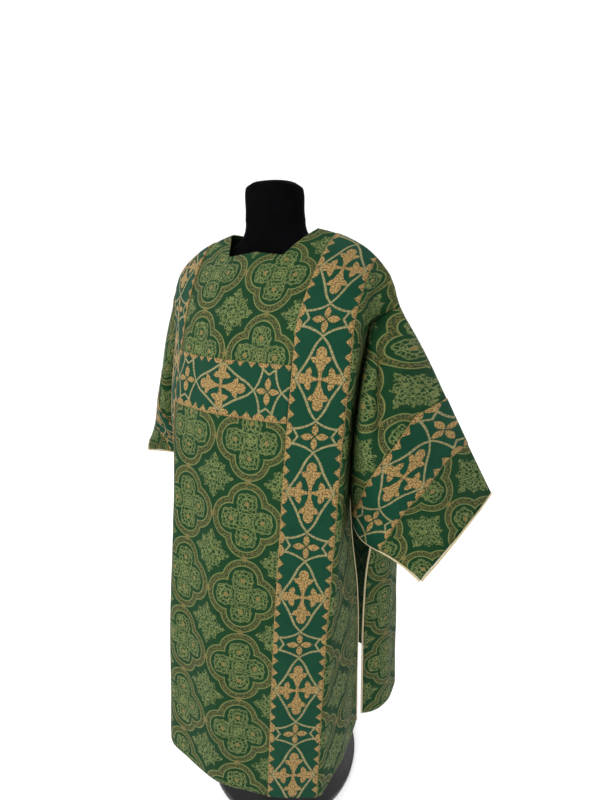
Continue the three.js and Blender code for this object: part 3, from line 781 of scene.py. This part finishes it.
def woven_band(name, front=True):
    """Lozenges with a fleury cross, between small cartouches with a four-petalled flower.

    The cloth's coordinates run across from the band's centre line and along from a flower. The
    figures below are in millimetres, a shape's value being above 0 inside it.
    """
    finish = Finish(name, Specular_IOR_Level=0.10)
    across, along = finish.cloth()
    x = across.abs() * 1000
    y = (along.wrap(REPEAT / 2) * 1000).abs()
    half_band, half_repeat = BAND * 500, REPEAT * 500
    tooth_pitch = half_repeat / 4
    stroke = 1.9

    def leaf(u, v, long, wide):
        """A pointed leaf along u."""
        ratio = u / long
        return (1 - ratio * ratio) * wide - v.abs()

    def oval(u, v, a, b):
        return (1 - length_of(u / a, v / b)) * min(a, b)

    flower = leaf(x - 13.5, y, 12.0, 6.4).max(leaf(y - 13.0, x, 11.5, 5.8))

    bowed = (1 - x / 42).max(0.0)
    top_line = ((y - (14 + 15 * bowed * bowed)) * 0.88).abs()
    cartouche = (stroke - top_line).min(41.5 - x)
    notch = (stroke - (x - (31 + y * 0.66)).abs() * 0.84).min(15.0 - y)
    t = ((y - 30) / 75).max(0.0)
    rest = 1 - t
    flank = 44 * (t + 0.11 * (t * (2 * math.pi)).sin() * rest * rest)
    lozenge = (stroke - (x - flank).abs() * 0.78).min(y - 29.5)
    lines = cartouche.max(notch).max(lozenge)

    rise = half_repeat - y
    stem_width = 3.0 + ((rise - 10) / 20).max(0.0) * 8.0
    stem = (stem_width - x).min(34 - rise)
    bud = oval(x, rise - 46.0, 9.6, 11.5)
    wing = leaf((x - 10) * 0.9 + (rise - 34) * 0.43, (rise - 34) * 0.9 - (x - 10) * 0.43, 10.0, 6.0)
    arm_width = 2.2 + x * x * 0.0170
    arm = (arm_width - rise).min(25 - x)
    arm_bud = oval(x - 31, rise, 10.0, 9.2)
    arm_wing = leaf((rise - 11) * 0.97 - (x - 21) * 0.24, (x - 21) * 0.97 + (rise - 11) * 0.24, 10.5, 5.8)
    cross = stem.max(bud).max(wing).max(arm).max(arm_bud).max(arm_wing)

    unit = y / tooth_pitch
    local = (unit - unit.node("FLOOR") - 0.5) * tooth_pitch
    from_edge = half_band - x
    reach = (1 - (local / 12.4) * (local / 12.4)).max(0.0).node("SQRT") * 11.0
    scallop = reach - from_edge
    tooth = ((1 - local.abs() / 11.0) * 12.0) - from_edge
    is_tooth = unit.over(1.0, 0.01) * unit.under(3.0, 0.01)
    teeth = (scallop - is_tooth * 60).max(tooth - (1 - is_tooth) * 60).max(1.3 - from_edge)

    gold_figure = flower.max(cross).max(teeth).over(0, 0.7)
    line_figure = lines.over(0, 0.7)

    diagonal, glint = weave(finish, across, along)
    speckle = finish.noise(330, 2.0).over(0.49, 0.13)
    strength = 1.0 if front else FAINT["band"]
    ground = finish.blend(finish.noise(30, 2.0), BAND_GREEN_DEEP, BAND_GREEN)
    gold = finish.blend(speckle, darker(BAND_GOLD, 0.30), BAND_GOLD)
    pale = finish.blend(speckle, darker(BAND_LINE, 0.50), BAND_LINE)
    colour = finish.blend(line_figure * strength, ground, pale)
    colour = finish.blend(gold_figure * strength, colour, gold)
    finish.paint(colour)
    figure = gold_figure.max(line_figure)
    finish.set("Roughness", 0.78 - figure * 0.18)
    finish.set("Metallic", figure * 0.15 * strength)
    finish.bump(figure * 0.8 + diagonal * 0.10 + glint * 0.35, 0.0005)
    return finish.material


def satin_cord():
    finish = Finish("piping_satin", Sheen_Weight=0.2, Sheen_Roughness=0.4)
    around, along = finish.cloth()
    rib = ((along + around) * (2 * math.pi / 0.0016)).sin()
    shade = finish.noise(140, 2.0)
    finish.paint(finish.blend(shade * 0.7 + rib * 0.15, (0.34, 0.26, 0.12), (0.62, 0.53, 0.31)))
    finish.set("Roughness", 0.40 + shade * 0.15)
    finish.bump(rib * 0.5 + shade, 0.0003)
    return finish.material


def jersey():
    finish = Finish("form_jersey", Specular_IOR_Level=0.01)
    finish.around()
    pile = finish.noise(420, 3.0)
    worn = finish.noise(14, 3.0)
    finish.paint(finish.blend(worn * 0.6 + pile * 0.4, (0.0006, 0.0006, 0.0007), (0.0024, 0.0024, 0.0028)))
    finish.set("Roughness", 0.82 + pile * 0.12)
    finish.bump(pile, 0.0008)
    return finish.material


def powder_coat():
    finish = Finish("stand_powder_coat", Metallic=0.35)
    finish.around()
    grain = finish.noise(700, 2.0)
    scuff = finish.noise(22, 5.0)
    finish.paint(finish.blend(scuff, (0.010, 0.010, 0.011), (0.024, 0.024, 0.026)))
    finish.set("Roughness", 0.38 + scuff * 0.22)
    finish.bump(grain, 0.0002)
    return finish.material


def plain_paper():
    finish = Finish("studio_floor", Roughness=0.8, Emission_Strength=0.14)
    finish.around()
    finish.paint(finish.blend(finish.noise(3, 2.0), (0.86, 0.86, 0.86), (0.89, 0.89, 0.89)))
    return finish.material


# ------------------------------------------------------------------ the pieces
BROCADE = brocade("brocade_face")
BROCADE_REVERSE = brocade("brocade_reverse", front=False)
WOVEN = woven_band("woven_face")
WOVEN_REVERSE = woven_band("woven_reverse", front=False)
SATIN = satin_cord()

NEAR_FLOWER = 0.219          # a flower of the upright bands, down the cloth
CROSS_FLOWER = 0.105         # a flower of the cross bands, across from the middle
SLEEVE_FLOWER = -0.022       # a flower of the sleeve bands, along the cuff
# Above its band a sleeve's brocade is a piece of its own, joined under the band.
UPPER_STRETCH, UPPER_ACROSS, UPPER_DOWN = 1.15, 0.048, -0.048


def finish_piece(piece, node, slot, *materials):
    for material in materials:
        piece.data.materials.append(material)
    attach(piece, "root")
    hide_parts(node)
    return piece


def dress_panel(place, surface):
    """A panel with its bands, its cross band and the piping of its open sides."""
    face = SIDES[place]["face"]
    last = surface["points"].shape[0] - 1
    middle = surface["middle"]
    piece = wall(place + "_panel_cloth", surface, (0, last), (0, 2 * middle), 0, -CLOTH,
                 lambda across, down: (across, down))
    finish_piece(piece, place + "_panel", "brocade", BROCADE, BROCADE_REVERSE)
    for hand, name in ((1, "left"), (-1, "right")):
        columns = sorted((middle + hand * IN_COLUMN, middle + hand * OUT_COLUMN))
        band = wall(f"{place}_{name}_orphrey", surface, (0, last), columns, LIFT + TRIM, LIFT,
                    lambda across, down, centre=hand * (BAND_IN + BAND / 2):
                    (across - centre, down - NEAR_FLOWER))
        finish_piece(band, f"{place}_{name}_band", "woven_band", WOVEN, WOVEN_REVERSE)
        points, away, normals = side_edge(surface, hand, UNDERARM_DROP + PIPING_START, HEM_DROP)
        cord = tube(f"{place}_{name}_edging", points, normals, away)
        finish_piece(cord, f"{place}_{name}_piping", "piping", SATIN)
    down = surface["down"][:, middle]
    rows = [int(np.argmin(abs(down - d))) for d in (CROSS_DROP, CROSS_DROP + BAND)]
    cross = wall(place + "_cross_orphrey", surface, rows, (middle - IN_COLUMN, middle + IN_COLUMN),
                 LIFT + TRIM, LIFT,
                 lambda across, down: (down - CROSS_DROP - BAND / 2, across * -face - CROSS_FLOWER),
                 taper=SEAM)
    finish_piece(cross, place + "_cross_band", "woven_band", WOVEN, WOVEN_REVERSE)


def dress_sleeve(name, surface):
    """A sleeve with its band and the piping of its cuff and lower edges."""
    rows = (0, surface["points"].shape[0] - 1)
    count = surface["points"].shape[1] - 1
    centre = sum(SLEEVE_BAND) / 2

    def cut(across, down):
        upper = down > centre
        return (np.where(upper, across * UPPER_STRETCH + UPPER_ACROSS, across),
                np.where(upper, down + UPPER_DOWN, down))
    piece = wall(name + "_sleeve_cloth", surface, rows, (0, count), 0, -CLOTH, cut)
    finish_piece(piece, name + "_sleeve", "brocade", BROCADE, BROCADE_REVERSE)
    first = len(SLEEVE_MEASURES)
    band = wall(name + "_sleeve_orphrey", surface, rows, (first, first + BAND_STEPS), LIFT + TRIM, LIFT,
                lambda across, down: (down - centre, across - SLEEVE_FLOWER))
    finish_piece(band, name + "_sleeve_band", "woven_band", WOVEN, WOVEN_REVERSE)
    points, normals = surface["points"], surface["normals"]
    cuff = tube(name + "_cuff_edging", points[:, -1], normals[:, -1], points[:, -1] - points[:, -2])
    finish_piece(cuff, name + "_cuff_piping", "piping", SATIN)
    for place, i, nxt in (("front", 0, 1), ("back", -1, -2)):
        edge, beside = points[i, LOOSE_FROM:], points[nxt, LOOSE_FROM:]
        cord = tube(f"{name}_{place}_lower_edging", edge, normals[i, LOOSE_FROM:], edge - beside)
        finish_piece(cord, f"{name}_sleeve_{place}_piping", "piping", SATIN)


# Level cuts of the form: half its width, and how far it reaches to the front and the back.
TORSO_COLUMNS = ("drop", "wide", "front", "back")
TORSO = (
    (-0.038, 0.046, 0.042, 0.044), (-0.028, 0.059, 0.055, 0.058), (0.020, 0.062, 0.054, 0.060),
    (0.062, 0.074, 0.044, 0.058), (0.090, 0.114, 0.042, 0.064), (0.124, 0.178, 0.056, 0.076),
    (0.165, 0.200, 0.084, 0.090), (0.240, 0.192, 0.132, 0.104), (0.330, 0.178, 0.150, 0.104),
    (0.500, 0.152, 0.120, 0.096), (0.660, 0.178, 0.122, 0.120), (0.800, 0.172, 0.116, 0.116),
)
FORM_SQUARE = 2.3            # 2 is an oval, more is squarer
FORM_GIRTH = 1.1
ROUND = np.linspace(0, 2 * math.pi, 97)[None, :-1]


def dress_form():
    """The padded torso, with the shallow grooves of its cover's seams."""
    top, brim, waist = TORSO[0][0], TORSO[1][0], TORSO[-1][0]
    drops = np.concatenate([np.linspace(top, brim, 6)[:-1], np.linspace(brim, waist, 110)])
    cuts = {n: column(TORSO, TORSO_COLUMNS, n, drops)[:, None] for n in TORSO_COLUMNS[1:]}
    cos, sin = np.cos(ROUND), np.sin(ROUND)
    x = cuts["wide"] * np.sign(cos) * abs(cos) ** (2 / FORM_SQUARE)
    y = np.where(sin < 0, cuts["front"], cuts["back"]) * np.sign(sin) * abs(sin) ** (2 / FORM_SQUARE)
    seam = np.cos(ROUND * 4) ** 2
    groove = 1 - 0.006 * np.exp(-((1 - seam) / 0.03))
    collar = 1 + 0.02 * np.exp(-((drops[:, None] - 0.030) / 0.003) ** 2)
    height = np.broadcast_to(TOP - drops[:, None], x.shape)
    points = np.stack([x * groove * collar, y * groove * collar, height], -1)
    length = np.concatenate([[0], np.cumsum(np.linalg.norm(np.diff(points[:, 0], axis=0), axis=1))])
    piece = tube_mesh("dress_form_cover", points, length, FORM_GIRTH)
    finish_piece(piece, "form_torso", "form_cover", jersey())


def stand():
    """The pole with its collar under the torso, and the round foot with softened edges."""
    coat = powder_coat()
    (_, _, foot_low), (foot_x, _, foot_top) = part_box("form_base")
    (_, _, pole_low), (pole_x, _, pole_top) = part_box("form_pole")
    edge = 0.006
    softened = [(foot_x - edge + edge * math.cos(a), foot_top - 0.008 + edge * math.sin(a) * 0.7)
                for a in np.linspace(0, math.pi / 2, 7)]
    foot = [(foot_x - 0.002, foot_low), *softened, (foot_x * 0.4, foot_top - 0.001),
            (0.034, foot_top - 0.0005), (0.004, foot_top - 0.0005)]
    slim = pole_x * 0.97
    pole = [(slim, pole_low), (pole_x, pole_low + 0.002), (pole_x, pole_low + 0.028),
            (slim, pole_low + 0.030), (slim, pole_top - 0.05), (pole_x, pole_top - 0.048),
            (pole_x, pole_top - 0.002), (slim, pole_top)]
    for name, node, profile in (("stand_foot", "form_base", foot), ("stand_pole", "form_pole", pole)):
        r, z = np.array(profile).T
        points = np.stack([r[:, None] * np.cos(ROUND), r[:, None] * np.sin(ROUND),
                           np.broadcast_to(z[:, None], (len(r), ROUND.size))], -1)
        length = np.concatenate([[0], np.cumsum(np.hypot(np.diff(r), np.diff(z)))])
        piece = tube_mesh(name, points, length, 2 * math.pi * r.max())
        finish_piece(piece, node, "stand_metal", coat)


# ------------------------------------------------------------------ the studio
FLAT_FLOOR = 5.0             # radius of the floor's level part
FLOOR_CURVE = 3.0
WALL_TOP = 14.0
# Lamps: name, place, size in metres and power in watts. All point at the middle of the garment.
LAMPS = (
    ("key", (0.6, -3.4, 3.0), 1.8, 110),
    ("fill", (-3.0, -1.6, 2.2), 2.2, 50),
    ("rim", (-0.8, 3.2, 2.8), 2.2, 55),
)
AIM = Vector((0, 0, 1.0))

CAMERA_PLACE = (0.5655, -0.8609, 1.356)
CAMERA_DOWN = 15.6           # degrees below level
CAMERA_TURN = 29.56
LENS = 20.25


def studio():
    """A pale floor that curves up into the background all round, and soft light from three sides."""
    curve = np.linspace(0.1, math.pi / 2, 12)
    radius = np.concatenate([np.linspace(0.05, FLAT_FLOOR, 12), FLAT_FLOOR + FLOOR_CURVE * np.sin(curve),
                             [FLAT_FLOOR + FLOOR_CURVE]])
    height = np.concatenate([np.zeros(12), FLOOR_CURVE * (1 - np.cos(curve)), [WALL_TOP]])
    angle = np.linspace(0, 2 * math.pi, 65)[None, :-1]
    points = np.stack([radius[:, None] * np.cos(angle), radius[:, None] * np.sin(angle),
                       np.broadcast_to(height[:, None], (len(radius), angle.size))], -1)
    index = np.arange(len(radius) * angle.size).reshape(-1, angle.size)
    following = np.roll(index, -1, axis=1)
    quads = np.stack([index[:-1], index[1:], following[1:], following[:-1]], -1).reshape(-1, 4)
    faces = [list(q)[::-1] for q in quads] + [list(index[0])]
    mesh = bpy.data.meshes.new("studio_floor")
    mesh.from_pydata(points.reshape(-1, 3).tolist(), [], faces)
    mesh.polygons.foreach_set("use_smooth", np.ones(len(mesh.polygons), bool))
    floor = bpy.data.objects.new("studio_floor", mesh)
    bpy.context.scene.collection.objects.link(floor)
    mesh.materials.append(plain_paper())

    bpy.context.scene.view_settings.view_transform = "Standard"
    world = bpy.data.worlds.new("studio_air")
    world.use_nodes = True
    world.node_tree.nodes["Background"].inputs["Color"].default_value = (1, 1, 1, 1)
    world.node_tree.nodes["Background"].inputs["Strength"].default_value = 1.0
    bpy.context.scene.world = world

    for name, place, size, power in LAMPS:
        lamp = bpy.data.lights.new(name, "AREA")
        lamp.size = size
        lamp.energy = power
        holder = bpy.data.objects.new(name, lamp)
        holder.location = place
        holder.rotation_euler = (AIM - Vector(place)).to_track_quat("-Z", "Y").to_euler()
        bpy.context.scene.collection.objects.link(holder)


def camera():
    data = bpy.data.cameras.new("camera")
    data.sensor_width = 36
    data.lens = LENS
    view = bpy.data.objects.new("camera", data)
    view.location = CAMERA_PLACE
    view.rotation_euler = (math.radians(90 - CAMERA_DOWN), 0, math.radians(CAMERA_TURN))
    bpy.context.scene.collection.objects.link(view)
    bpy.context.scene.camera = view


camera()
studio()
panels = {place: panel(place) for place in SIDES}
for side_name in SIDES:
    dress_panel(side_name, panels[side_name])
for sleeve_name in SLEEVES:
    dress_sleeve(sleeve_name, sleeve(sleeve_name, panels))
dress_form()
stand()
